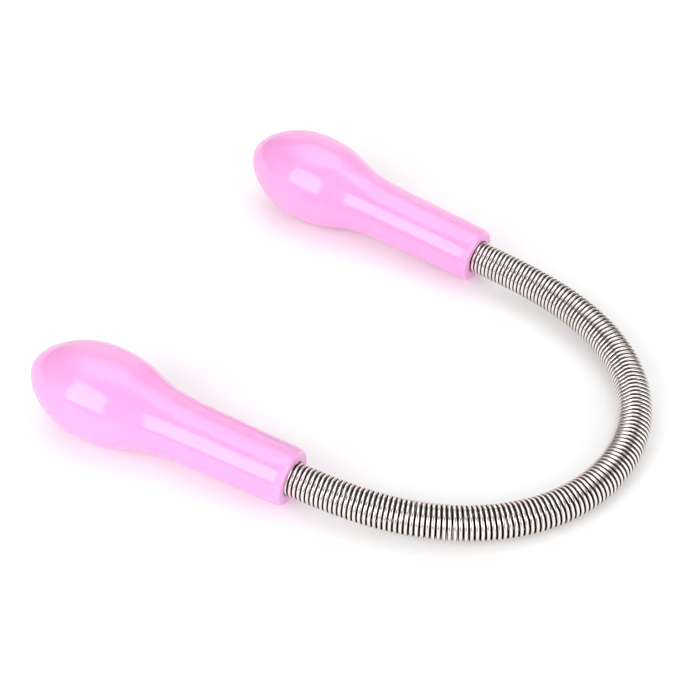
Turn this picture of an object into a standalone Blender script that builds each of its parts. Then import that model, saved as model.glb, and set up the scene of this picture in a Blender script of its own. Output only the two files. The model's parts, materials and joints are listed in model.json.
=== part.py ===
"""Facial hair removal spring: a wound steel spring, bent in a U, with a moulded handle on each end.

It lies on a table, on the bulbs of its two handles and on the far side of its bend. X runs from
the handles to the bend and Z is up. All lengths are in metres. The spring is one wire on the
object. Here it is cut into links, with a hinge at each cut, so that it can be bent.
"""

import math

import bmesh
import bpy
import numpy as np
from mathutils import Matrix, Vector

# Spring: its wire, its coil, and how it lies
COIL_DIAMETER = 0.0072
WIRE_DIAMETER = 0.00094
SPRING_LENGTH = 0.1433
BEND_ANGLE = math.radians(173.7)
BEND_SHARES = (0.18, 0.585, 0.83, 1.0, 0.99, 0.60, 0.0)

# Turns of the wire in each link, from the first handle to the second, and in each hidden tail
LINK_TURNS = (8, 6, 6, 5, 5, 5, 5, 5, 5, 5, 5, 5, 5, 6, 8)
TAIL_TURNS = 3
CURL_POINTS = 8
CUT_GAP = 0.0003
ENTRY_LENGTH = 0.0012

# Handle: a neck with a bore in its mouth, and a bulb to hold
MOUTH_DIAMETER = 0.0121
NECK_DIAMETER = 0.0129
BULB_DIAMETER = 0.0205
NECK_LENGTH = 0.022
BULB_PLACE = 0.0457
HANDLE_LENGTH = 0.0617
MOUTH_ROUNDING = 0.0009
BORE_CLEARANCE = 0.00025
BORE_CHAMFER = 0.0003
SHOULDER_SHARES = (0.65, 0.50)
NOSE_SHARES = (0.51, 0.44)

# Core plug: pressed into the hidden turns, to hold them against the bore
PLUG_CLEARANCE = 0.0003
PLUG_NOSE_LENGTH = 0.0012
PLUG_NOSE_DIAMETER = 0.0030

# Fineness of the round shapes
HANDLE_SIDES = 32
PLUG_SIDES = 20
CURVE_STEPS = 8
ROUNDING_STEPS = 3
BEND_STEPS = 1500
WIRE_SIDES_LEVEL = 1
WELD_DISTANCE = 0.0000001

COIL_RADIUS = (COIL_DIAMETER - WIRE_DIAMETER) / 2
BORE_RADIUS = COIL_DIAMETER / 2 + BORE_CLEARANCE


def clear_scene():
    for obj in list(bpy.data.objects):
        bpy.data.objects.remove(obj, do_unlink=True)


def material(name, colour, roughness, metallic):
    made = bpy.data.materials.new(name)
    made.use_nodes = True
    shader = made.node_tree.nodes["Principled BSDF"]
    shader.inputs["Base Color"].default_value = (*colour, 1)
    shader.inputs["Roughness"].default_value = roughness
    shader.inputs["Metallic"].default_value = metallic
    return made


def add_object(name, data, parent, place, finish):
    data.materials.append(finish)
    obj = bpy.data.objects.new(name, data)
    bpy.context.scene.collection.objects.link(obj)
    obj.parent = parent
    obj.matrix_local = place
    return obj


# The bend: the spring's middle line, in its own flat plane

def bend_share(share):
    """The curvature at this share of the length, as a share of the greatest."""
    knots = len(BEND_SHARES) - 1
    place = min(max(share, 0), 1) * knots
    first = min(int(place), knots - 1)
    t = place - first
    before, here, there, after = (
        BEND_SHARES[min(max(first + step, 0), knots)] for step in (-1, 0, 1, 2)
    )
    curve = here + t * (there - before) / 2
    curve += t * t * (before - 2.5 * here + 2 * there - after / 2)
    curve += t * t * t * (1.5 * (here - there) + (after - before) / 2)
    return max(curve, 0)


class Bend:
    """The middle line: places, headings and curvatures along its length, by small equal steps."""

    def __init__(self):
        shares = np.linspace(0, 1, BEND_STEPS)
        self.along = shares * SPRING_LENGTH
        step = self.along[1]
        curvature = np.array([bend_share(share) for share in shares])
        total = (curvature.sum() - (curvature[0] + curvature[-1]) / 2) * step
        self.curvature = curvature * BEND_ANGLE / total
        self.heading = self.summed(self.curvature, step)
        self.x = self.summed(np.cos(self.heading), step)
        self.y = self.summed(np.sin(self.heading), step)
        self.level_the_handles()

    @staticmethod
    def summed(values, step):
        return np.concatenate([[0], np.cumsum((values[1:] + values[:-1]) / 2 * step)])

    def level_the_handles(self):
        """Turns the line so that X is square to the line from one bulb to the other."""
        bulbs = [self.point(end, 0) for end in (-BULB_PLACE, SPRING_LENGTH + BULB_PLACE)]
        across = bulbs[1] - bulbs[0]
        turn = math.pi / 2 - math.atan2(across.y, across.x)
        x, y = self.x.copy(), self.y.copy()
        self.x = x * math.cos(turn) - y * math.sin(turn)
        self.y = x * math.sin(turn) + y * math.cos(turn)
        self.heading = self.heading + turn

    def curvature_at(self, along):
        inside = 0 <= along <= SPRING_LENGTH
        return float(np.interp(along, self.along, self.curvature)) if inside else 0

    def direction(self, along):
        angle = float(np.interp(along, self.along, self.heading))
        return Vector((math.cos(angle), math.sin(angle), 0))

    def side(self, along):
        forward = self.direction(along)
        return Vector((-forward.y, forward.x, 0))

    def point(self, along, height):
        """A place on the middle line, which runs straight on into each handle."""
        inside = min(max(along, 0), SPRING_LENGTH)
        x = float(np.interp(inside, self.along, self.x))
        y = float(np.interp(inside, self.along, self.y))
        return Vector((x, y, height)) + self.direction(inside) * (along - inside)


def inner_pitch():
    """The wire's step from turn to turn along the inner side of the bend, the same all along."""
    inner_length = SPRING_LENGTH + 2 * ENTRY_LENGTH - COIL_RADIUS * BEND_ANGLE
    return inner_length / sum(LINK_TURNS)


def places_along(bend):
    """Where each eighth of a turn lies along the middle line, from the first cut on."""
    pitch = inner_pitch()
    halves = sum(LINK_TURNS) * CURL_POINTS * 2
    places = [-ENTRY_LENGTH]
    for _ in range(halves):
        middle = places[-1] + pitch / (4 * CURL_POINTS)
        spread = 1 - bend.curvature_at(middle) * COIL_RADIUS
        places.append(places[-1] + pitch / (2 * CURL_POINTS * spread))
    return places


def wire_point(bend, along, turns):
    """A point of the wire. It lies at the top of the coil after each whole turn."""
    angle = math.pi / 2 + 2 * math.pi * turns
    outwards = bend.side(along) * math.cos(angle) + Vector((0, 0, math.sin(angle)))
    return bend.point(along, 0) + outwards * COIL_RADIUS


def ends_cut_back(points):
    """The wire's run with each end at the middle of its chord, less half the gap of a cut."""
    run = list(points)
    for end, inside in ((0, 1), (-1, -2)):
        middle = (run[end] + run[inside]) / 2
        inwards = (run[inside] - run[end]).normalized()
        run[end] = middle + inwards * CUT_GAP / 2
    return run


def link_runs(bend):
    """For each link the points of its wire, and the middle of the cut at its start."""
    places = places_along(bend)
    runs, cuts = [], []
    first = 0
    for turns in LINK_TURNS:
        steps = range(-1, turns * CURL_POINTS + 1)
        halves = [2 * (first * CURL_POINTS + step) + 1 for step in steps]
        run = []
        for half in halves:
            along = places[min(max(half, 0), len(places) - 1)]
            if not 0 <= half < len(places):
                along += inner_pitch() / (2 * CURL_POINTS) * (1 if half > 0 else -1)
            run.append(wire_point(bend, along, half / (2 * CURL_POINTS)))
        cuts.append((run[0] + run[1]) / 2)
        runs.append(ends_cut_back(run))
        first += turns
    return runs, cuts


def tail_length():
    return (TAIL_TURNS + 1) * inner_pitch()


def tail_run():
    """The hidden turns, along +Z into the handle from one pitch past the last link's end."""
    pitch = inner_pitch()
    run = []
    for step in range(-1, TAIL_TURNS * CURL_POINTS + 1):
        turns = (step + 1 / 2) / CURL_POINTS
        angle = math.pi / 2 + 2 * math.pi * turns
        depth = ENTRY_LENGTH + (1 + turns) * pitch
        run.append(Vector((math.cos(angle) * COIL_RADIUS, math.sin(angle) * COIL_RADIUS, depth)))
    return ends_cut_back(run)


def wire_curve(name, points, origin):
    """One unbroken length of wire, as a tube along these points."""
    data = bpy.data.curves.new(name, "CURVE")
    data.dimensions = "3D"
    data.bevel_depth = WIRE_DIAMETER / 2
    data.bevel_resolution = WIRE_SIDES_LEVEL
    data.use_fill_caps = True
    spline = data.splines.new("POLY")
    spline.points.add(len(points) - 1)
    for target, point in zip(spline.points, points):
        target.co = (*(point - origin), 1)
    return data


def least_gap(runs):
    """The least gap of the wire to itself, over all links laid end to end."""
    points = np.array([point for run in runs for point in run])
    least = math.inf
    for first in range(len(points) - CURL_POINTS // 2):
        others = points[first + CURL_POINTS // 2:]
        least = min(least, np.linalg.norm(others - points[first], axis=1).min())
    return least - WIRE_DIAMETER


# The handle and its plug, turned round +Z, with the mouth at the origin

def bezier(start, start_pull, end_pull, end):
    """Points of a cubic curve from start to end, without its first."""
    made = []
    for step in range(1, CURVE_STEPS + 1):
        t = step / CURVE_STEPS
        weights = ((1 - t) ** 3, 3 * t * (1 - t) ** 2, 3 * t * t * (1 - t), t ** 3)
        corners = (start, start_pull, end_pull, end)
        made.append(tuple(sum(w * c[i] for w, c in zip(weights, corners)) for i in (0, 1)))
    return made


def neck_radius(height):
    taper = (NECK_DIAMETER - MOUTH_DIAMETER) / 2
    return MOUTH_DIAMETER / 2 + taper * height / NECK_LENGTH


def rounded_mouth():
    """The mouth's outer edge as an arc, from the end face to the neck."""
    centre = (neck_radius(MOUTH_ROUNDING) - MOUTH_ROUNDING, MOUTH_ROUNDING)
    made = []
    for step in range(ROUNDING_STEPS + 1):
        angle = math.pi / 2 * step / ROUNDING_STEPS
        out = centre[0] + MOUTH_ROUNDING * math.sin(angle)
        made.append((out, centre[1] - MOUTH_ROUNDING * math.cos(angle)))
    return made


def outer_profile():
    """(radius, height) from the end face, up the neck and over the bulb to its tip."""
    neck, bulb = NECK_DIAMETER / 2, BULB_DIAMETER / 2
    shoulder = BULB_PLACE - NECK_LENGTH
    pull = shoulder * SHOULDER_SHARES[0]
    neck_end = (neck, NECK_LENGTH)
    neck_pull = (neck_radius(NECK_LENGTH + pull), NECK_LENGTH + pull)
    bulb_pull = (bulb, BULB_PLACE - shoulder * SHOULDER_SHARES[1])
    widest = (bulb, BULB_PLACE)
    nose = HANDLE_LENGTH - BULB_PLACE
    nose_pull = (bulb, BULB_PLACE + nose * NOSE_SHARES[0])
    tip_pull = (bulb * NOSE_SHARES[1], HANDLE_LENGTH)
    made = rounded_mouth() + [neck_end]
    made += bezier(neck_end, neck_pull, bulb_pull, widest)
    made += bezier(widest, nose_pull, tip_pull, (0, HANDLE_LENGTH))
    return made


def bore_depth():
    return ENTRY_LENGTH + tail_length() + WIRE_DIAMETER / 2 + PLUG_CLEARANCE


def bore_profile():
    """(radius, height) from the bottom of the bore to its chamfered rim."""
    return [
        (0, bore_depth()),
        (BORE_RADIUS - BORE_CHAMFER, bore_depth()),
        (BORE_RADIUS, bore_depth() - BORE_CHAMFER),
        (BORE_RADIUS, BORE_CHAMFER),
        (BORE_RADIUS + BORE_CHAMFER, 0),
    ]


def plug_profile():
    """(radius, height) of the plug, from its flat base at the bore's bottom to its nose."""
    radius = COIL_DIAMETER / 2 - WIRE_DIAMETER - PLUG_CLEARANCE
    base = bore_depth() - PLUG_CLEARANCE
    nose = ENTRY_LENGTH
    return [
        (0, nose),
        (PLUG_NOSE_DIAMETER / 2, nose),
        (radius, nose + PLUG_NOSE_LENGTH),
        (radius, base),
        (0, base),
    ]


def turned(name, profile, sides):
    """A solid turned round Z from a profile whose two ends lie on the axis."""
    shape = bmesh.new()
    points = [shape.verts.new((radius, 0, height)) for radius, height in profile]
    edges = [shape.edges.new(pair) for pair in zip(points, points[1:])]
    bmesh.ops.spin(
        shape, geom=points + edges, axis=(0, 0, 1), cent=(0, 0, 0),
        angle=2 * math.pi, steps=sides, use_merge=True,
    )
    bmesh.ops.remove_doubles(shape, verts=shape.verts, dist=WELD_DISTANCE)
    bmesh.ops.recalc_face_normals(shape, faces=shape.faces)
    data = bpy.data.meshes.new(name)
    shape.to_mesh(data)
    shape.free()
    data.shade_smooth()
    data.set_sharp_from_angle(angle=math.radians(40))
    return data


# How the object lies on the table

def lowest_of_spring(bend, tilt):
    reach = COIL_DIAMETER / 2 * math.cos(tilt)
    return float((-bend.x * math.sin(tilt)).min()) - reach


def lowest_of_handle(bend, tilt, end):
    mouth = bend.point(end, 0)
    outwards = bend.direction(end) * (1 if end > 0 else -1)
    rise = -outwards.x * math.sin(tilt)
    flat = math.sqrt(1 - rise * rise)
    heights = [
        -mouth.x * math.sin(tilt) + rise * height - flat * radius
        for radius, height in outer_profile()
    ]
    return min(heights)


def resting_tilt(bend):
    """The slope of the spring's plane with the bulbs and the bend on one table."""
    low, high = 0, math.pi / 8
    for _ in range(40):
        tilt = (low + high) / 2
        handles = min(lowest_of_handle(bend, tilt, end) for end in (0, SPRING_LENGTH))
        if lowest_of_spring(bend, tilt) > handles:
            low = tilt
        else:
            high = tilt
    return low


def stand_on_origin(plane):
    """Moves the whole part so that the middle of its base is the origin."""
    bpy.context.view_layer.update()
    graph = bpy.context.evaluated_depsgraph_get()
    corners = []
    for obj in bpy.context.scene.objects:
        if obj.type == "EMPTY":
            continue
        evaluated = obj.evaluated_get(graph)
        mesh = evaluated.to_mesh()
        corners += [evaluated.matrix_world @ vertex.co for vertex in mesh.vertices]
        evaluated.to_mesh_clear()
    corners = np.array(corners)
    low, high = corners.min(axis=0), corners.max(axis=0)
    plane.location = (-(low[0] + high[0]) / 2, -(low[1] + high[1]) / 2, -low[2])
    bpy.context.view_layer.update()


# The pieces

def add_links(bend, plane, steel):
    """The links of the wire. Each has its origin where it hinges on its neighbour."""
    runs, cuts = link_runs(bend)
    root = len(runs) // 2
    for number, run in enumerate(runs):
        hinge = cuts[number + 1] if number < root else cuts[number]
        origin = Vector((hinge.x, hinge.y, 0))
        name = f"spring_link_{number + 1:02d}"
        data = wire_curve(name, run, origin)
        add_object(name, data, plane, Matrix.Translation(origin), steel)
    print(f"least gap of the wire to itself: {least_gap(runs) * 1000:.3f} mm")


def add_handle(bend, plane, end, letter, finishes):
    """A handle with its plug and the hidden turns of the wire, all turning about the neck."""
    outwards = bend.direction(end) * (1 if end > 0 else -1)
    turn = Vector((0, 0, 1)).rotation_difference(outwards).to_matrix().to_4x4()
    place = Matrix.Translation(bend.point(end, 0)) @ turn
    shapes = {
        "handle": turned("handle", bore_profile() + outer_profile(), HANDLE_SIDES),
        "core_plug": turned("core_plug", plug_profile(), PLUG_SIDES),
        "spring_tail": wire_curve("spring_tail", tail_run(), Vector((0, 0, 0))),
    }
    for kind, data in shapes.items():
        add_object(f"{kind}_{letter}", data, plane, place, finishes[kind])


def main():
    clear_scene()
    steel = material("spring_steel", (0.62, 0.60, 0.58), 0.22, 1)
    finishes = {
        "handle": material("pink_plastic", (0.97, 0.46, 0.87), 0.18, 0),
        "core_plug": material("white_plastic", (0.85, 0.83, 0.84), 0.4, 0),
        "spring_tail": steel,
    }
    bend = Bend()
    plane = bpy.data.objects.new("spring_plane", None)
    bpy.context.scene.collection.objects.link(plane)
    plane.rotation_euler = (0, resting_tilt(bend), 0)
    add_links(bend, plane, steel)
    add_handle(bend, plane, 0, "a", finishes)
    add_handle(bend, plane, SPRING_LENGTH, "b", finishes)
    stand_on_origin(plane)


main()
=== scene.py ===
"""Looks for the facial hair removal spring: its close-wound wire, smooth pink handles and white studio.

All lengths are in metres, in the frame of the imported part: X runs from the handles to the bend of
the spring, Z is up.
"""

import json
import math

import bmesh
import bpy
import numpy as np
from mathutils import Matrix, Vector

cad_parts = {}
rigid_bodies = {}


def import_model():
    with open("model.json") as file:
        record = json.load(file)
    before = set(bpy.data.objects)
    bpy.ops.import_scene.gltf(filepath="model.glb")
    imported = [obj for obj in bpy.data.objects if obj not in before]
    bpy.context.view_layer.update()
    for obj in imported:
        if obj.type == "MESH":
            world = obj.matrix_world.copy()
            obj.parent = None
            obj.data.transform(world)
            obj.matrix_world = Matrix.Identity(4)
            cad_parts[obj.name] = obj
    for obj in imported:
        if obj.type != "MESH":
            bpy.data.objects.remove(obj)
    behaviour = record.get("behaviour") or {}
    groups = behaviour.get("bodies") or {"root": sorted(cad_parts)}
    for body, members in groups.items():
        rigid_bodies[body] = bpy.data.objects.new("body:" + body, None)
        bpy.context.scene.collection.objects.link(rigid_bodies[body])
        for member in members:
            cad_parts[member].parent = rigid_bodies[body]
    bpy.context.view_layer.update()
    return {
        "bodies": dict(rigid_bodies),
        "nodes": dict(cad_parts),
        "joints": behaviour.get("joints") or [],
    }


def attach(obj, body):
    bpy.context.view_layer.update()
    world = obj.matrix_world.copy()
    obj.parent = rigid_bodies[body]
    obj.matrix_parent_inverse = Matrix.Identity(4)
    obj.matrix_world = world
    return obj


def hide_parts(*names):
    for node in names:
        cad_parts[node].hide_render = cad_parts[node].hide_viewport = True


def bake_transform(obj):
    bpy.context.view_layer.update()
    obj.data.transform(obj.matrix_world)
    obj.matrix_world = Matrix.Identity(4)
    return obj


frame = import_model()

# Spring: its middle line, which has the part's own bend, and its wire
COIL_DIAMETER = 0.0072
WIRE_DIAMETER = 0.000905
SPRING_LENGTH = 0.1433
BEND_ANGLE = math.radians(173.7)
BEND_SHARES = (0.18, 0.585, 0.83, 1.0, 0.99, 0.60, 0.0)
BEND_STEPS = 3000
TURNS = 143
ENTRY_LENGTH = 0.0012
TAIL_LENGTH = 0.0062
TAIL_GAP = 0.0004
POINTS_A_TURN = 30
WIRE_SIDES = 12
WIRE_SHARP_ANGLE = math.radians(60)
ROW_MARGIN_SHARE = 0.04

# Handle: the part's own profile, with more steps
MOUTH_DIAMETER = 0.0121
NECK_DIAMETER = 0.0129
BULB_DIAMETER = 0.0205
NECK_LENGTH = 0.022
BULB_PLACE = 0.0457
HANDLE_LENGTH = 0.0617
MOUTH_BEVEL_LENGTH = 0.0015
MOUTH_BEVEL_DEPTH = 0.00015
MOUTH_ROUNDING = 0.0007
BORE_DIAMETER = 0.00745
BORE_CHAMFER = 0.00012
BORE_DEPTH = 0.0085
SHOULDER_SHARES = (0.65, 0.50)
NOSE_SHARES = (0.51, 0.44)
HANDLE_SIDES = 160
HANDLE_SHARP_ANGLE = math.radians(35)
CURVE_STEPS = 40
ROUNDING_STEPS = 10
BORE_STEPS = 4
END_FACE_STEPS = 2

# Pink plastic: its two shades, how fine its patterns are, its roughness, and its light underneath
PINK_SHADES = [(0.3, (0.94, 0.375, 0.725)), (0.7, (0.96, 0.41, 0.755))]
PINK_SHADE_FINENESS = 60
PINK_GLOSS_FINENESS = 900
PINK_WAVE_FINENESS = 420
PINK_ROUGHNESS = (0.09, 0.16)
PINK_WAVE_STRENGTH = 0.12
PINK_WAVE_DEPTH = 0.0002
PINK_GLOW_WEIGHT = 0.5
PINK_GLOW_DEPTH = 0.006
PINK_GLOW_SPREAD = (1.0, 0.55, 0.9)
PINK_IOR = 1.49

# Towards the outline, where the surface turns away, its gloss fades: where from and to, and the gloss at both
EDGE_FADE_SHARES = (0.55, 0.9)
EDGE_GLINTS = (0.72, 0.25)

# Steel: its two bright shades and its streaks, whose fineness goes by wire widths, and its roughness
STEEL_SHADES = [(0.35, (0.83, 0.775, 0.74)), (0.65, (0.92, 0.87, 0.84))]
STEEL_SHADE_FINENESS = 0.16
STREAK_STRETCH = (0.08, 3, 3)
STREAK_FINENESS = 3
STEEL_ROUGHNESS = (0.12, 0.30)
STREAK_STRENGTH = 0.25
STREAK_DEPTH = 0.00002

# Round the wire, from its flank at 0 to its outermost line at 1: where it turns from painted shade, dark and
# not metal, to bright metal; the dark flanks are painted shade for the grooves between turns
WIRE_METAL_EDGES = (0.05, 0.30)
WIRE_SHINE_EDGES = (0.47, 0.88)
# The flanks' dark colour is painted shade for the grooves where turn meets turn, not the steel's own colour
WIRE_FLANK_PAINTED_SHADE = (0.055, 0.036, 0.025)

# White plastic of the core plugs
WHITE_SHADES = [(0.3, (0.80, 0.78, 0.79)), (0.7, (0.88, 0.86, 0.87))]
WHITE_SHADE_FINENESS = 300
WHITE_GLOSS_FINENESS = 1500
WHITE_GRAIN_FINENESS = 2500
WHITE_ROUGHNESS = (0.38, 0.5)
WHITE_GRAIN_STRENGTH = 0.2
WHITE_GRAIN_DEPTH = 0.00005

# Camera, at the photograph's angle
LENS = 81.63
SENSOR = 36.0
CAMERA_DISTANCE = 0.34654
CAMERA_CLIP_SHARE = 0.02
CAMERA_TARGET = (-0.00998, 0.0045, 0.0)
CAMERA_AZIMUTH = math.radians(33.624)
CAMERA_ELEVATION = math.radians(45.165)
CAMERA_ROLL = math.radians(-2.517)

# Studio: the floor, and soft boxes by azimuth and elevation in degrees, distance, width, height, brightness
FLOOR_SIZE = 4.0
FLOOR_SHADES = [(0.0, (0.93, 0.93, 0.93)), (1.0, (0.95, 0.95, 0.95))]
FLOOR_FINENESS = 40
SOFT_BOXES = {
    "front_box": (252, 33, 0.7, 0.43, 0.52, 2.6),
    "top_box": (127, 68, 1.0, 0.84, 0.88, 0.86),
    "side_box": (357, 21, 0.9, 0.62, 0.60, 1.1),
}
WATTS_A_SQUARE_METRE = 4

# The soft fill, brightest from one direction, and the floor's own white, which grows away from the object
FILL_DIRECTION = (0.90, -0.15, 0.15)
FILL_LEVELS = (0.20, 1.0)
FLOOR_GLOWS = (0.08, 1.0)
FLOOR_GLOW_EDGES = (0.20, 0.80)

# What gloss and metal show of the studio: azimuth and elevation in degrees, edges across and up, brightness
REFLECTED_GLOWS = (
    (230, 15, (0.18, 0.64), (0.15, 0.50), 0.9),
    (358, 16, (0.20, 0.66), (0.32, 0.76), 1.5),
    (120, 76, (0.34, 0.88), (0.18, 0.62), 1.1),
    (120, 14, (0.18, 0.68), (0.20, 0.60), 1.3),
    (300, 20, (0.50, 0.95), (0.30, 0.70), 0.55),
)
REFLECTED_LEAST = 0.2
GLOW_FRONT_EDGES = (0, 0.3)

# The side of the studio that gloss and metal show warmer, by azimuth and elevation in degrees
WARM_SIDE = (302, 12)
WARM_EDGES = (0.60, 0.97)
WARM_COLOUR = (1.0, 0.83, 0.72)


# The middle line of the spring

def bend_share(share):
    """The curvature at this share of the length, as a share of the greatest."""
    knots = len(BEND_SHARES) - 1
    place = min(max(share, 0), 1) * knots
    first = min(int(place), knots - 1)
    t = place - first
    before, here, there, after = (
        BEND_SHARES[min(max(first + step, 0), knots)] for step in (-1, 0, 1, 2)
    )
    curve = here + t * (there - before) / 2
    curve += t * t * (before - 2.5 * here + 2 * there - after / 2)
    curve += t * t * t * (1.5 * (here - there) + (after - before) / 2)
    return max(curve, 0)


def running_sum(values, step):
    return np.concatenate([[0], np.cumsum((values[1:] + values[:-1]) / 2 * step)])


class MiddleLine:
    """The spring's middle line at rest. It starts at the first handle's mouth, in the bend's plane."""

    def __init__(self, start, forward, normal):
        self.start = np.array(start)
        self.normal = np.array(normal) / np.linalg.norm(normal)
        forward = np.array(forward) - self.normal * (np.array(forward) @ self.normal)
        self.forward = forward / np.linalg.norm(forward)
        self.left = np.cross(self.normal, self.forward)
        shares = np.linspace(0, 1, BEND_STEPS)
        self.along = shares * SPRING_LENGTH
        step = self.along[1]
        curvature = np.array([bend_share(share) for share in shares])
        self.curvature = curvature * BEND_ANGLE / running_sum(curvature, step)[-1]
        self.heading = running_sum(self.curvature, step)
        self.x = running_sum(np.cos(self.heading), step)
        self.y = running_sum(np.sin(self.heading), step)

    def curvature_at(self, along):
        return np.interp(along, self.along, self.curvature, left=0, right=0)

    def direction(self, along):
        angle = np.interp(along, self.along, self.heading)
        return np.outer(np.cos(angle), self.forward) + np.outer(np.sin(angle), self.left)

    def side(self, along):
        angle = np.interp(along, self.along, self.heading)
        return np.outer(np.cos(angle), self.left) - np.outer(np.sin(angle), self.forward)

    def point(self, along):
        along = np.atleast_1d(along)
        inside = np.clip(along, 0, SPRING_LENGTH)
        x = np.interp(inside, self.along, self.x)
        y = np.interp(inside, self.along, self.y)
        on_line = self.start + np.outer(x, self.forward) + np.outer(y, self.left)
        return on_line + self.direction(inside) * (along - inside)[:, None]

    def nearest(self, place):
        """How far along the line is nearest to this place."""
        gaps = np.linalg.norm(self.point(self.along) - np.array(place), axis=1)
        return float(self.along[gaps.argmin()])


def joint(name):
    return next(found for found in frame["joints"] if found["name"] == name)


def middle_line():
    first = joint("roll_a")
    return MiddleLine(first["pos_m"], first["axis"], joint("bend_09")["axis"])


# The wire

COIL_RADIUS = COIL_DIAMETER / 2 - WIRE_DIAMETER / 2
INNER_PITCH = (SPRING_LENGTH - COIL_RADIUS * BEND_ANGLE) / TURNS


def turns_along(line):
    """Places along the middle line, and the turns that the wire has made at each."""
    along = np.linspace(-ENTRY_LENGTH, SPRING_LENGTH + ENTRY_LENGTH, BEND_STEPS)
    rate = (1 - line.curvature_at(along) * COIL_RADIUS) / INNER_PITCH
    return along, running_sum(rate, along[1] - along[0])


def tube(name, centres, outwards, rows):
    """A closed tube along these centres. rows is the turn that each step belongs to, for its map."""
    count = len(centres)
    forward = np.gradient(centres, axis=0)
    forward /= np.linalg.norm(forward, axis=1)[:, None]
    across = np.cross(forward, outwards)
    across /= np.linalg.norm(across, axis=1)[:, None]
    outwards = np.cross(across, forward)
    around = np.linspace(0, 2 * math.pi, WIRE_SIDES, endpoint=False)
    spokes = (
        np.cos(around)[None, :, None] * outwards[:, None, :]
        + np.sin(around)[None, :, None] * across[:, None, :]
    )
    places = centres[:, None, :] + spokes * WIRE_DIAMETER / 2
    data = bpy.data.meshes.new(name)
    faces = []
    for step in range(count - 1):
        for side in range(WIRE_SIDES):
            after = (side + 1) % WIRE_SIDES
            near, far = step * WIRE_SIDES, (step + 1) * WIRE_SIDES
            faces.append((near + side, far + side, far + after, near + after))
    last = (count - 1) * WIRE_SIDES
    faces.append(tuple(range(WIRE_SIDES)))
    faces.append(tuple(reversed(range(last, last + WIRE_SIDES))))
    data.from_pydata(places.reshape(-1, 3).tolist(), [], faces)
    data.validate()
    data.shade_smooth()
    data.set_sharp_from_angle(angle=WIRE_SHARP_ANGLE)
    store_wire_places(data, rows, around)
    lay_out_wire(data, rows)
    return data


def store_wire_places(data, rows, around):
    """How far along the wire each point lies, in wire widths, and where round it."""
    places = np.zeros((len(rows), len(around), 3))
    places[:, :, 0] = np.array(rows)[:, None] * 2 * math.pi * COIL_RADIUS / WIRE_DIAMETER
    places[:, :, 1] = np.cos(around)[None, :]
    places[:, :, 2] = np.sin(around)[None, :]
    stored = data.attributes.new("wire_place", "FLOAT_VECTOR", "POINT")
    stored.data.foreach_set("vector", places.astype(np.float32).ravel())


def lay_out_wire(data, rows):
    """A map with one row for each turn of the wire."""
    lowest = int(math.floor(min(rows)))
    count = int(math.ceil(max(rows))) - lowest
    layer = data.uv_layers.new(name="OFBake")
    places = np.zeros((len(data.loops), 2), np.float32)
    filled = 1 - 2 * ROW_MARGIN_SHARE
    for polygon in data.polygons:
        step, side = divmod(polygon.index, WIRE_SIDES)
        if step >= len(rows) - 1:
            continue
        row = int(math.floor((rows[step] + rows[step + 1]) / 2)) - lowest
        corners = ((0, 0), (1, 0), (1, 1), (0, 1))
        for loop, (ahead, beside) in zip(polygon.loop_indices, corners):
            u = rows[step + ahead] - lowest - row
            v = (side + beside) / WIRE_SIDES
            places[loop] = (u, (row + ROW_MARGIN_SHARE + v * filled) / count)
    layer.uv.foreach_set("vector", places.ravel())


def wire_path(line, along, turns, first, last):
    """Centres and outward directions of the wire from one turn to another."""
    steps = max(int(round((last - first) * POINTS_A_TURN)), 2)
    turn = np.linspace(first, last, steps + 1)
    place = np.interp(turn, turns, along)
    angle = math.pi / 2 + 2 * math.pi * turn
    outwards = line.side(place) * np.cos(angle)[:, None]
    outwards += line.normal[None, :] * np.sin(angle)[:, None]
    return line.point(place) + outwards * COIL_RADIUS, outwards, turn


def new_piece(name, data, finish):
    data.materials.append(finish)
    piece = bpy.data.objects.new(name, data)
    bpy.context.scene.collection.objects.link(piece)
    return piece


def link_middles(line, count):
    """The middle of each link, along the line, from the hinges between them."""
    places = []
    for number in range(1, count):
        child = number if number < (count + 1) // 2 else number + 1
        places.append(line.nearest(joint(f"bend_{child:02d}")["pos_m"]))
    ends = [0] + places + [SPRING_LENGTH]
    return [(here + there) / 2 for here, there in zip(ends, ends[1:])]


def make_spring(line, finish):
    """The coil in pieces that each cross one hinge, cut at the coil's underside."""
    links = sorted(name for name in frame["bodies"] if name.startswith("spring_link_"))
    along, turns = turns_along(line)
    middles = link_middles(line, len(links))
    cuts = [float(np.interp(place, along, turns)) for place in middles]
    cuts = [round(cut - 0.5) + 0.5 for cut in cuts]
    cuts[0], cuts[-1] = turns[0], turns[-1]
    for number, (before, after) in enumerate(zip(links, links[1:])):
        first, last = cuts[number], cuts[number + 1]
        centres, outwards, rows = wire_path(line, along, turns, first, last)
        name = f"wire_{number + 1:02d}"
        piece = new_piece(name, tube(name, centres, outwards, rows), finish)
        start, end = (line.point(middles[number + step])[0] for step in (0, 1))
        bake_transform(piece)
        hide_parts(before)
        if number == len(links) - 2:
            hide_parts(after)


def make_tail(line, letter, end, finish):
    """The hidden turns of the wire in a handle's bore, which turn with the handle."""
    outwards_sign = 1 if end > 0 else -1
    direction = line.direction(end)[0] * outwards_sign
    side = line.side(end)[0]
    first = ENTRY_LENGTH + WIRE_DIAMETER + TAIL_GAP
    count = int((TAIL_LENGTH - first) / INNER_PITCH)
    turn = np.linspace(0, count, count * POINTS_A_TURN + 1)
    angle = math.pi / 2 + 2 * math.pi * turn * outwards_sign
    outwards = np.outer(np.cos(angle), side) + np.outer(np.sin(angle), line.normal)
    depth = first + turn * INNER_PITCH
    centres = line.point(end)[0] + np.outer(depth, direction) + outwards * COIL_RADIUS
    name = f"wire_tail_{letter}"
    piece = new_piece(name, tube(name, centres, outwards, turn), finish)
    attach(piece, f"handle_{letter}")
    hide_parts(f"spring_tail_{letter}")


# The handles

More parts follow.
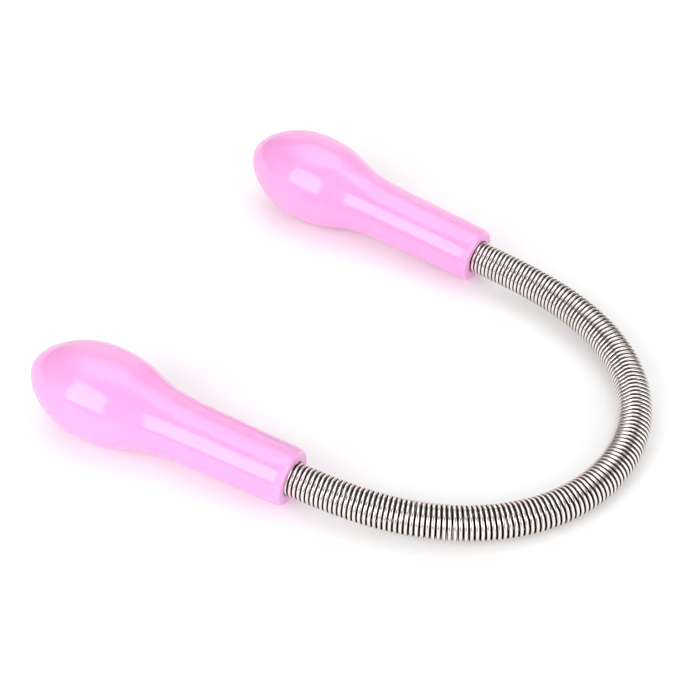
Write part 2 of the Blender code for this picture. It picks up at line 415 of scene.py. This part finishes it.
def bezier(start, start_pull, end_pull, end):
    """Points of a cubic curve from start to end, without its first."""
    made = []
    for step in range(1, CURVE_STEPS + 1):
        t = step / CURVE_STEPS
        weights = ((1 - t) ** 3, 3 * t * (1 - t) ** 2, 3 * t * t * (1 - t), t ** 3)
        corners = (start, start_pull, end_pull, end)
        made.append(tuple(sum(w * c[i] for w, c in zip(weights, corners)) for i in (0, 1)))
    return made


def neck_radius(height):
    taper = (NECK_DIAMETER - MOUTH_DIAMETER) / 2
    return MOUTH_DIAMETER / 2 + taper * height / NECK_LENGTH


def straight(start, end, steps):
    """Points from start to end, with both."""
    return [
        tuple(a + (b - a) * step / steps for a, b in zip(start, end)) for step in range(steps + 1)
    ]


def outer_profile():
    """(radius, height) from the end face, up the neck and over the bulb to its tip."""
    centre = (MOUTH_DIAMETER / 2 - MOUTH_BEVEL_DEPTH - MOUTH_ROUNDING, MOUTH_ROUNDING)
    made = []
    for step in range(ROUNDING_STEPS + 1):
        angle = math.pi / 2 * step / ROUNDING_STEPS
        out = centre[0] + MOUTH_ROUNDING * math.sin(angle)
        made.append((out, centre[1] - MOUTH_ROUNDING * math.cos(angle)))
    neck, bulb = NECK_DIAMETER / 2, BULB_DIAMETER / 2
    shoulder = BULB_PLACE - NECK_LENGTH
    pull = shoulder * SHOULDER_SHARES[0]
    neck_end = (neck, NECK_LENGTH)
    bevel_end = (neck_radius(MOUTH_BEVEL_LENGTH), MOUTH_BEVEL_LENGTH)
    made += straight(made[-1], bevel_end, ROUNDING_STEPS)[1:]
    made += straight(bevel_end, neck_end, CURVE_STEPS)[1:]
    neck_pull = (neck_radius(NECK_LENGTH + pull), NECK_LENGTH + pull)
    bulb_pull = (bulb, BULB_PLACE - shoulder * SHOULDER_SHARES[1])
    widest = (bulb, BULB_PLACE)
    nose = HANDLE_LENGTH - BULB_PLACE
    nose_pull = (bulb, BULB_PLACE + nose * NOSE_SHARES[0])
    tip_pull = (bulb * NOSE_SHARES[1], HANDLE_LENGTH)
    made += bezier(neck_end, neck_pull, bulb_pull, widest)
    made += bezier(widest, nose_pull, tip_pull, (0, HANDLE_LENGTH))
    return made


def bore_profile():
    """(radius, height) from the bottom of the bore to its chamfered rim and the end face."""
    bore = BORE_DIAMETER / 2
    made = [(0, BORE_DEPTH), (bore - BORE_CHAMFER, BORE_DEPTH)]
    made += straight((bore, BORE_DEPTH - BORE_CHAMFER), (bore, BORE_CHAMFER), BORE_STEPS)
    made += straight((bore + BORE_CHAMFER, 0), outer_profile()[0], END_FACE_STEPS)[:-1]
    return made


def turned(name, profile):
    """A solid turned round Z from a profile whose two ends lie on the axis, with a map."""
    shape = bmesh.new()
    spokes = [2 * math.pi * side / HANDLE_SIDES for side in range(HANDLE_SIDES)]
    rings = []
    for radius, height in profile:
        if radius == 0:
            rings.append([shape.verts.new((0, 0, height))] * HANDLE_SIDES)
            continue
        rings.append([
            shape.verts.new((radius * math.cos(a), radius * math.sin(a), height)) for a in spokes
        ])
    layer = shape.loops.layers.uv.new("OFBake")
    lengths = [math.dist(here, there) for here, there in zip(profile, profile[1:])]
    run = np.concatenate([[0], np.cumsum(lengths)]) / sum(lengths)
    for number, (low, high) in enumerate(zip(rings, rings[1:])):
        for side in range(HANDLE_SIDES):
            after = (side + 1) % HANDLE_SIDES
            corners = [
                (low[side], side, number), (low[after], side + 1, number),
                (high[after], side + 1, number + 1), (high[side], side, number + 1),
            ]
            kept = []
            for corner in corners:
                if all(corner[0] is not other[0] for other in kept):
                    kept.append(corner)
            face = shape.faces.new([corner[0] for corner in kept])
            for loop, (_, column, row) in zip(face.loops, kept):
                loop[layer].uv = (column / HANDLE_SIDES, run[row])
    data = bpy.data.meshes.new(name)
    shape.to_mesh(data)
    shape.free()
    data.shade_smooth()
    data.set_sharp_from_angle(angle=HANDLE_SHARP_ANGLE)
    return data


def make_handle(line, letter, end, finish):
    direction = Vector(line.direction(end)[0] * (1 if end > 0 else -1))
    turn = Vector((0, 0, 1)).rotation_difference(direction).to_matrix().to_4x4()
    name = f"pink_handle_{letter}"
    data = turned(name, bore_profile() + outer_profile())
    data.transform(Matrix.Translation(Vector(line.point(end)[0])) @ turn)
    piece = new_piece(name, data, finish)
    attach(piece, f"handle_{letter}")
    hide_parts(f"handle_{letter}")


# Materials

class Look:
    """A material with its nodes, and short ways to add to them."""

    def __init__(self, name):
        self.material = bpy.data.materials.new(name)
        self.material.use_nodes = True
        self.nodes = self.material.node_tree.nodes
        self.links = self.material.node_tree.links
        self.shader = self.nodes["Principled BSDF"]

    def set(self, **values):
        for name, value in values.items():
            self.shader.inputs[name.replace("_", " ")].default_value = value

    def node(self, kind, **values):
        made = self.nodes.new(kind)
        for name, value in values.items():
            setattr(made, name, value)
        return made

    def link(self, start, end):
        self.links.new(start, end)

    def noise(self, vector, scale, detail=4.0, roughness=0.5):
        made = self.node("ShaderNodeTexNoise")
        made.inputs["Scale"].default_value = scale
        made.inputs["Detail"].default_value = detail
        made.inputs["Roughness"].default_value = roughness
        self.link(vector, made.inputs["Vector"])
        return made.outputs["Fac"]

    def stretched(self, vector, scale):
        made = self.node("ShaderNodeMapping")
        made.inputs["Scale"].default_value = scale
        self.link(vector, made.inputs["Vector"])
        return made.outputs["Vector"]

    def ramp(self, value, stops):
        made = self.node("ShaderNodeValToRGB")
        elements = made.color_ramp.elements
        while len(elements) < len(stops):
            elements.new(0.5)
        for element, (place, colour) in zip(elements, stops):
            element.position = place
            element.color = (*colour, 1)
        self.link(value, made.inputs["Fac"])
        return made.outputs["Color"]

    def between(self, value, low, high):
        """The value, spread from low to high."""
        made = self.node("ShaderNodeMapRange")
        made.inputs["To Min"].default_value = low
        made.inputs["To Max"].default_value = high
        self.link(value, made.inputs["Value"])
        return made.outputs["Result"]

    def spread(self, value, edges, levels):
        """The value, turned smoothly from these edges to these levels."""
        made = self.node("ShaderNodeMapRange", interpolation_type="SMOOTHSTEP")
        for name, number in zip(("From Min", "From Max", "To Min", "To Max"), edges + levels):
            made.inputs[name].default_value = number
        self.link(value, made.inputs["Value"])
        return made.outputs["Result"]

    def combine(self, operation, first, second):
        made = self.node("ShaderNodeMath", operation=operation)
        self.link(first, made.inputs[0])
        self.link(second, made.inputs[1])
        return made.outputs["Value"]

    def bump(self, height, strength, distance):
        made = self.node("ShaderNodeBump")
        made.inputs["Strength"].default_value = strength
        made.inputs["Distance"].default_value = distance
        self.link(height, made.inputs["Height"])
        self.link(made.outputs["Normal"], self.shader.inputs["Normal"])


class Sky(Look):
    """The world's nodes, with ways to add to them."""

    def __init__(self, world):
        self.nodes = world.node_tree.nodes
        self.links = world.node_tree.links

    def pick(self, switch, off, on):
        made = self.node("ShaderNodeMix")
        self.link(switch, made.inputs["Factor"])
        self.link(off, made.inputs["A"])
        self.link(on, made.inputs["B"])
        return made.outputs["Result"]

    def constant(self, value):
        made = self.node("ShaderNodeValue")
        made.outputs["Value"].default_value = value
        return made.outputs["Value"]

    def along(self, direction, axis):
        made = self.node("ShaderNodeVectorMath", operation="DOT_PRODUCT")
        made.inputs[1].default_value = axis
        self.link(direction, made.inputs[0])
        return made.outputs["Value"]

    def glow(self, direction, azimuth, elevation, edges_across, edges_up, level):
        """A soft patch of light. Its edges are sines of the angle from its middle."""
        middle = towards(azimuth, elevation)
        right = Vector((0, 0, 1)).cross(middle).normalized()
        made = self.spread(self.along(direction, middle), GLOW_FRONT_EDGES, (0, level))
        for axis, edges in ((right, edges_across), (middle.cross(right), edges_up)):
            aside = self.node("ShaderNodeMath", operation="ABSOLUTE")
            self.link(self.along(direction, axis), aside.inputs[0])
            made = self.combine("MULTIPLY", made, self.spread(aside.outputs["Value"], edges, (1, 0)))
        return made


def towards(azimuth, elevation):
    """The direction at these angles in degrees. Azimuth runs from +X to +Y."""
    azimuth, elevation = math.radians(azimuth), math.radians(elevation)
    flat = math.cos(elevation)
    return Vector((flat * math.cos(azimuth), flat * math.sin(azimuth), math.sin(elevation)))


def object_place(look):
    return look.node("ShaderNodeTexCoord").outputs["Object"]


def pink_plastic():
    """Milky glossy plastic: light goes a little way in, and the colour drifts slightly."""
    look = Look("pink_plastic")
    place = object_place(look)
    colour = look.ramp(look.noise(place, PINK_SHADE_FINENESS, detail=2), PINK_SHADES)
    look.link(colour, look.shader.inputs["Base Color"])
    gloss = look.noise(place, PINK_GLOSS_FINENESS)
    look.link(look.between(gloss, *PINK_ROUGHNESS), look.shader.inputs["Roughness"])
    waves = look.noise(place, PINK_WAVE_FINENESS, detail=2)
    look.bump(waves, PINK_WAVE_STRENGTH, PINK_WAVE_DEPTH)
    edge = look.node("ShaderNodeLayerWeight")
    glint = look.spread(edge.outputs["Facing"], EDGE_FADE_SHARES, EDGE_GLINTS)
    look.link(glint, look.shader.inputs["Specular IOR Level"])
    look.set(Subsurface_Weight=PINK_GLOW_WEIGHT, Subsurface_Scale=PINK_GLOW_DEPTH)
    look.set(Subsurface_Radius=PINK_GLOW_SPREAD, IOR=PINK_IOR)
    return look.material


def spring_steel():
    """Bright drawn wire with fine streaks along it, painted dark and not metal where turn meets turn, as
    painted shade for the grooves between turns.
    """
    look = Look("bright_wire")
    attribute = look.node("ShaderNodeAttribute", attribute_name="wire_place")
    place = attribute.outputs["Vector"]
    along_wire = look.stretched(place, STREAK_STRETCH)
    streaks = look.noise(along_wire, STREAK_FINENESS, detail=5, roughness=0.6)
    bright = look.ramp(look.noise(place, STEEL_SHADE_FINENESS, detail=3), STEEL_SHADES)
    parts = look.node("ShaderNodeSeparateXYZ")
    look.link(place, parts.inputs["Vector"])
    # Painted shade: the flanks, where turn meets turn, get a dark colour and no metal in place of the shade
    # in the grooves
    outside = look.spread(parts.outputs["Y"], WIRE_SHINE_EDGES, (0, 1))
    painted_groove_shade = look.node("ShaderNodeMix", data_type="RGBA")
    look.link(outside, painted_groove_shade.inputs["Factor"])
    painted_groove_shade.inputs["A"].default_value = (*WIRE_FLANK_PAINTED_SHADE, 1)
    look.link(bright, painted_groove_shade.inputs["B"])
    look.link(painted_groove_shade.outputs["Result"], look.shader.inputs["Base Color"])
    look.link(painted_groove_shade.outputs["Result"], look.shader.inputs["Specular Tint"])
    look.link(look.between(streaks, *STEEL_ROUGHNESS), look.shader.inputs["Roughness"])
    look.bump(streaks, STREAK_STRENGTH, STREAK_DEPTH)
    metal = look.spread(parts.outputs["Y"], WIRE_METAL_EDGES, (0, 1))
    look.link(metal, look.shader.inputs["Metallic"])
    look.set(Specular_IOR_Level=0)
    return look.material


def white_plastic():
    """Plain plastic with a fine grain, for the plugs that the spring hides."""
    look = Look("white_plastic")
    place = object_place(look)
    colour = look.ramp(look.noise(place, WHITE_SHADE_FINENESS), WHITE_SHADES)
    look.link(colour, look.shader.inputs["Base Color"])
    gloss = look.noise(place, WHITE_GLOSS_FINENESS)
    look.link(look.between(gloss, *WHITE_ROUGHNESS), look.shader.inputs["Roughness"])
    look.bump(look.noise(place, WHITE_GRAIN_FINENESS), WHITE_GRAIN_STRENGTH, WHITE_GRAIN_DEPTH)
    return look.material


# The studio

def seen_directly(look):
    """1 for what is seen directly, in gloss or metal, or through glass, and 0 for light on things."""
    light_path = look.node("ShaderNodeLightPath")
    seen = light_path.outputs["Is Camera Ray"]
    for other in ("Is Glossy Ray", "Is Transmission Ray"):
        seen = look.combine("MAXIMUM", seen, light_path.outputs[other])
    return seen


def make_floor():
    """A white floor that keeps the object's shadow, with a glow that grows away from the object."""
    half = FLOOR_SIZE / 2
    data = bpy.data.meshes.new("floor")
    corners = [(-half, -half, 0), (half, -half, 0), (half, half, 0), (-half, half, 0)]
    data.from_pydata(corners, [], [(0, 1, 2, 3)])
    look = Look("white_floor")
    colour = look.ramp(look.noise(object_place(look), FLOOR_FINENESS, detail=2), FLOOR_SHADES)
    look.link(colour, look.shader.inputs["Base Color"])
    look.set(Roughness=1.0, Specular_IOR_Level=0)
    away = look.node("ShaderNodeVectorMath", operation="LENGTH")
    look.link(object_place(look), away.inputs[0])
    far_glow = look.spread(away.outputs["Value"], FLOOR_GLOW_EDGES, FLOOR_GLOWS)
    glow = look.node("ShaderNodeEmission")
    look.link(look.combine("MULTIPLY", far_glow, seen_directly(look)), glow.inputs["Strength"])
    both = look.node("ShaderNodeAddShader")
    look.link(look.shader.outputs["BSDF"], both.inputs[0])
    look.link(glow.outputs["Emission"], both.inputs[1])
    look.link(both.outputs["Shader"], look.nodes["Material Output"].inputs["Surface"])
    data.materials.append(look.material)
    floor = bpy.data.objects.new("floor", data)
    bpy.context.scene.collection.objects.link(floor)


def make_soft_box(name, azimuth, elevation, distance, width, height, brightness):
    """An area lamp that faces the middle of the object."""
    data = bpy.data.lights.new(name, "AREA")
    data.shape = "RECTANGLE"
    data.size = width
    data.size_y = height
    data.energy = brightness * width * height * WATTS_A_SQUARE_METRE
    lamp = bpy.data.objects.new(name, data)
    bpy.context.scene.collection.objects.link(lamp)
    direction = towards(azimuth, elevation)
    lamp.location = direction * distance
    lamp.rotation_euler = direction.to_track_quat("Z", "Y").to_euler()


def make_world():
    """White for the camera, a soft fill from one side, and for gloss and metal a dim room with glows."""
    world = bpy.data.worlds.new("studio")
    bpy.context.scene.world = world
    world.use_nodes = True
    sky = Sky(world)
    direction = sky.node("ShaderNodeTexCoord").outputs["Generated"]
    facing = sky.along(direction, Vector(FILL_DIRECTION).normalized())
    fill = sky.spread(facing, (-1, 1), FILL_LEVELS)
    reflected = sky.constant(REFLECTED_LEAST)
    for glow in REFLECTED_GLOWS:
        reflected = sky.combine("MAXIMUM", reflected, sky.glow(direction, *glow))
    light_path = sky.node("ShaderNodeLightPath")
    level = sky.pick(light_path.outputs["Is Glossy Ray"], fill, reflected)
    level = sky.pick(light_path.outputs["Is Camera Ray"], level, sky.constant(1))
    sky.link(level, sky.nodes["Background"].inputs["Strength"])
    warmth = sky.spread(sky.along(direction, towards(*WARM_SIDE)), WARM_EDGES, (0, 1))
    warmth = sky.combine("MULTIPLY", warmth, light_path.outputs["Is Glossy Ray"])
    colour = sky.ramp(warmth, [(0, (1, 1, 1)), (1, WARM_COLOUR)])
    sky.link(colour, sky.nodes["Background"].inputs["Color"])


def make_camera():
    azimuth, elevation = CAMERA_AZIMUTH, CAMERA_ELEVATION
    forward = Vector((
        -math.sin(azimuth) * math.cos(elevation),
        math.cos(azimuth) * math.cos(elevation),
        -math.sin(elevation),
    ))
    level = Vector((math.cos(azimuth), math.sin(azimuth), 0))
    above = level.cross(forward)
    right = level * math.cos(CAMERA_ROLL) + above * math.sin(CAMERA_ROLL)
    up = above * math.cos(CAMERA_ROLL) - level * math.sin(CAMERA_ROLL)
    data = bpy.data.cameras.new("camera")
    data.sensor_width = SENSOR
    data.lens = LENS
    data.clip_start = CAMERA_DISTANCE * CAMERA_CLIP_SHARE
    camera = bpy.data.objects.new("camera", data)
    bpy.context.scene.collection.objects.link(camera)
    turn = Matrix((right, up, -forward)).transposed().to_4x4()
    camera.matrix_world = Matrix.Translation(Vector(CAMERA_TARGET) - forward * CAMERA_DISTANCE) @ turn
    bpy.context.scene.camera = camera


def main():
    bpy.context.scene.view_settings.view_transform = "Standard"
    line = middle_line()
    steel, pink, white = spring_steel(), pink_plastic(), white_plastic()
    make_spring(line, steel)
    for letter, end in (("a", 0), ("b", SPRING_LENGTH)):
        make_tail(line, letter, end, steel)
        make_handle(line, letter, end, pink)
        plug = frame["nodes"][f"core_plug_{letter}"]
        plug.data.materials.clear()
        plug.data.materials.append(white)
    make_floor()
    for name, values in SOFT_BOXES.items():
        make_soft_box(name, *values)
    make_world()
    make_camera()


main()
